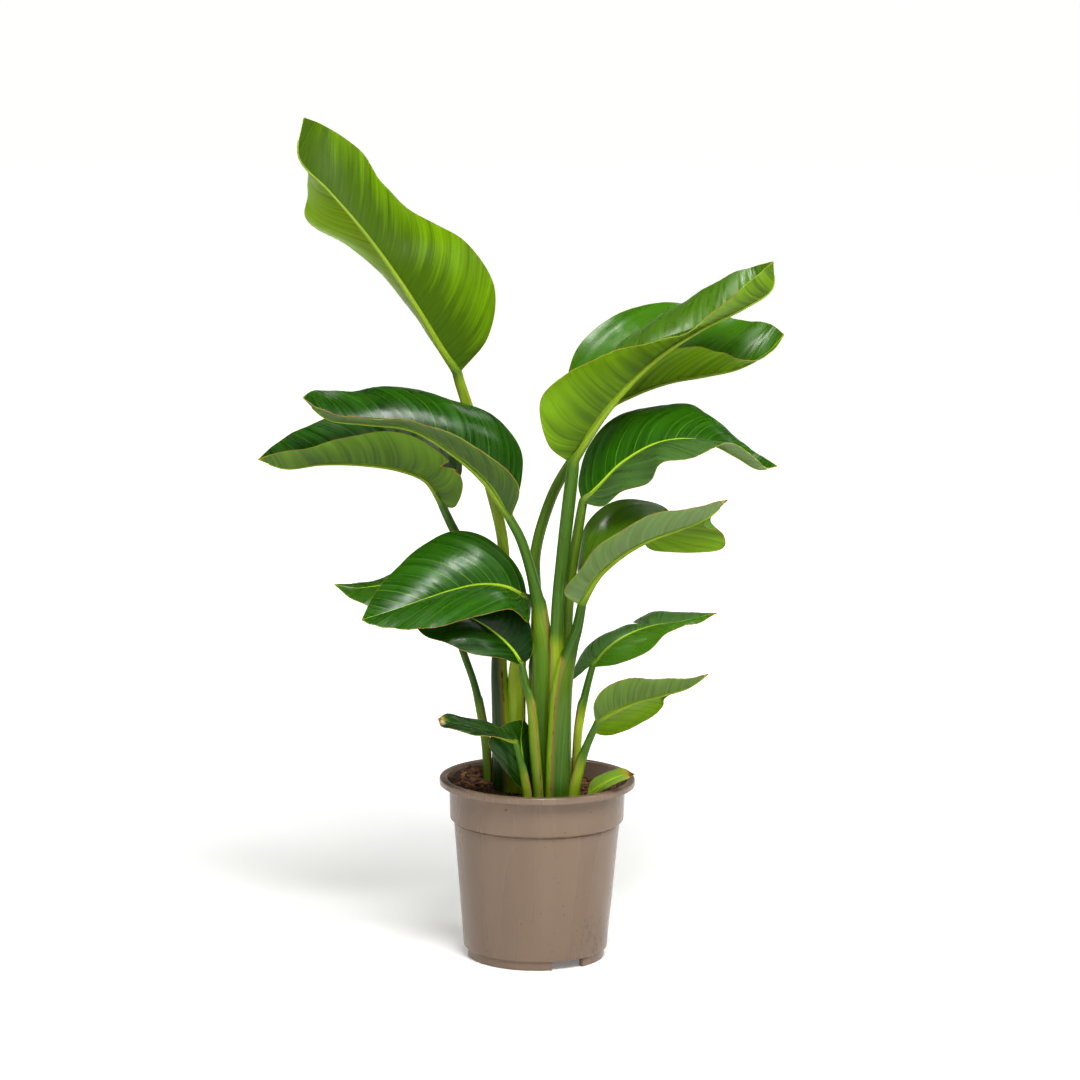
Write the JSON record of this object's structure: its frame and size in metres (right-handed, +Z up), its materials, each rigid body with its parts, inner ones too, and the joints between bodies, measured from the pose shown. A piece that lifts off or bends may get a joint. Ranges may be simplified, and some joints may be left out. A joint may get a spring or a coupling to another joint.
{
  "type": "potted bird of paradise",
  "caption": "Upright clump of long-stalked paddle leaves in two ranks, growing from bark in a round tapered nursery pot on low feet.",
  "frame": {"origin": "on the floor under the middle of the pot, on the pot's axis", "axes": "+Z up along the pot's axis, -Y to the front that the broad blade faces, +X to the right of that front"},
  "size_m": [0.5546, 0.2151, 0.9004],
  "materials": {
    "pot": "smooth moulded, satin",
    "soil": "rough composted bark",
    "leaf_lit": "waxy, satin",
    "leaf_deep": "waxy, glossy"
  },
  "bodies": {
    "root": {"pot": "pot", "soil": "soil", "leaf_tallest": "leaf_lit", "leaf_high_right": "leaf_lit", "leaf_rear_right": "leaf_lit", "leaf_middle_right": "leaf_lit", "leaf_folded_right": "leaf_lit", "leaf_torn_right": "leaf_lit", "leaf_low_right": "leaf_lit", "leaf_rim_right": "leaf_lit", "leaf_arching_left": "leaf_deep", "leaf_long_left": "leaf_deep", "leaf_broad_left": "leaf_deep", "leaf_rear_left": "leaf_deep", "leaf_dark_left": "leaf_deep", "leaf_low_left": "leaf_deep", "leaf_young_upright": "leaf_deep"}
  },
  "joints": []
}
